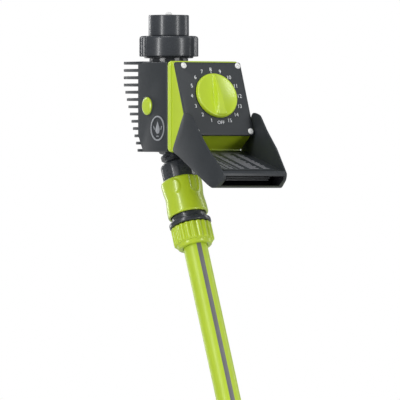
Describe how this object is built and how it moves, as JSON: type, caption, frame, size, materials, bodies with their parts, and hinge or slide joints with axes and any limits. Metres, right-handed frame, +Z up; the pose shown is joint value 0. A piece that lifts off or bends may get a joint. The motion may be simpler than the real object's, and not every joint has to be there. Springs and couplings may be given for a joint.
{
  "type": "drip irrigation timer",
  "caption": "Tap-hung watering timer with swivel inlet nut, finned body, tilted dial, hinged cover, and a hose on a quick connector.",
  "frame": {"origin": "on the inlet axis at the top rim of the tap adapter, where the timer hangs from a tap", "axes": "+Z up along the inlet axis, front of the timer towards -Y, +X to the right seen from the front"},
  "size_m": [0.281, 0.2809, 0.4249],
  "materials": {
    "charcoal_plastic": "fine moulded texture",
    "dark_fitting": "semi-gloss moulded",
    "lime_plastic": "semi-gloss moulded",
    "lime_hose": "soft vinyl with a grey stripe",
    "white_plastic": "semi-gloss",
    "print_grey": "pad-printed",
    "black_rubber": "matte",
    "black_plastic": "matte",
    "steel": "satin",
    "copper_winding": "wound wire",
    "circuit_board": "solder mask"
  },
  "bodies": {
    "timer_body": {"adapter_washer": "black_rubber", "battery": "steel", "battery_clip": "black_plastic", "battery_door": "charcoal_plastic", "bonnet_screw_1": "steel", "bonnet_screw_2": "steel", "bonnet_screw_3": "steel", "bonnet_screw_4": "steel", "button_spring": "steel", "button_switch": "circuit_board", "circuit_board": "circuit_board", "connector_body": "dark_fitting", "connector_spring": "steel", "control_panel": "charcoal_plastic", "dial_switch": "steel", "diaphragm": "black_rubber", "door_gasket": "black_rubber", "door_screw_1": "steel", "door_screw_2": "steel", "filter_screen": "white_plastic", "front_shell": "lime_plastic", "hinge_pin_left": "steel", "hinge_pin_right": "steel", "hose": "lime_hose", "hose_coil": "lime_hose", "hose_joiner": "dark_fitting", "nipple_seal": "black_rubber", "outlet_nipple": "dark_fitting", "outlet_washer": "black_rubber", "panel_screw_1": "white_plastic", "panel_screw_2": "white_plastic", "panel_screw_3": "white_plastic", "panel_screw_4": "white_plastic", "plunger_spring": "steel", "rear_shell": "charcoal_plastic", "shell_gasket": "black_rubber", "side_badge": "print_grey", "solenoid_coil": "copper_winding", "solenoid_yoke": "steel", "spindle_seal": "black_rubber", "tap_adapter": "dark_fitting", "union_washer": "black_rubber", "valve_body": "dark_fitting", "valve_bonnet": "dark_fitting"},
    "inlet_nut": {"inlet_nut": "dark_fitting"},
    "dial": {"dial_knob": "lime_plastic", "dial_spindle": "white_plastic"},
    "cover": {"cover": "charcoal_plastic", "programme_chart": "print_grey", "nose_grille": "black_plastic"},
    "side_button": {"side_button": "lime_plastic"},
    "plunger": {"plunger": "steel"},
    "connector_sleeve": {"connector_sleeve": "lime_plastic"},
    "clamp_nut": {"connector_nut": "lime_plastic", "connector_grip_ring": "white_plastic"}
  },
  "joints": [
    {"name": "inlet_nut_turn", "type": "hinge", "parent": "timer_body", "child": "inlet_nut", "pos_m": [0, 0, -0.026], "axis": [0, 0, 1], "continuous": true},
    {"name": "dial_turn", "type": "hinge", "parent": "timer_body", "child": "dial", "pos_m": [0.0015, -0.07024, -0.06864], "axis": [0, -0.9385, 0.3453], "continuous": true},
    {"name": "cover_hinge", "type": "hinge", "parent": "timer_body", "child": "cover", "pos_m": [0, -0.0744, -0.0983], "axis": [-1, 0, 0], "range_deg": [0, 125]},
    {"name": "side_button_press", "type": "slide", "parent": "timer_body", "child": "side_button", "axis": [1, 0, 0], "range_m": [0, 0.0014], "stiffness_N_per_m": 400, "springref_m": -0.001, "deforming": ["button_spring"]},
    {"name": "plunger_lift", "type": "slide", "parent": "timer_body", "child": "plunger", "axis": [0, -1, 0], "range_m": [0, 0.002], "stiffness_N_per_m": 300, "springref_m": -0.002, "deforming": ["plunger_spring"]},
    {"name": "sleeve_slide", "type": "slide", "parent": "timer_body", "child": "connector_sleeve", "axis": [0, -0.3746, -0.9272], "range_m": [0, 0.0042], "stiffness_N_per_m": 800, "springref_m": -0.004, "deforming": ["connector_spring"]},
    {"name": "clamp_nut_turn", "type": "hinge", "parent": "timer_body", "child": "clamp_nut", "pos_m": [0, -0.03747, -0.18547], "axis": [0, -0.3746, -0.9272], "range_deg": [0, 540]}
  ]
}
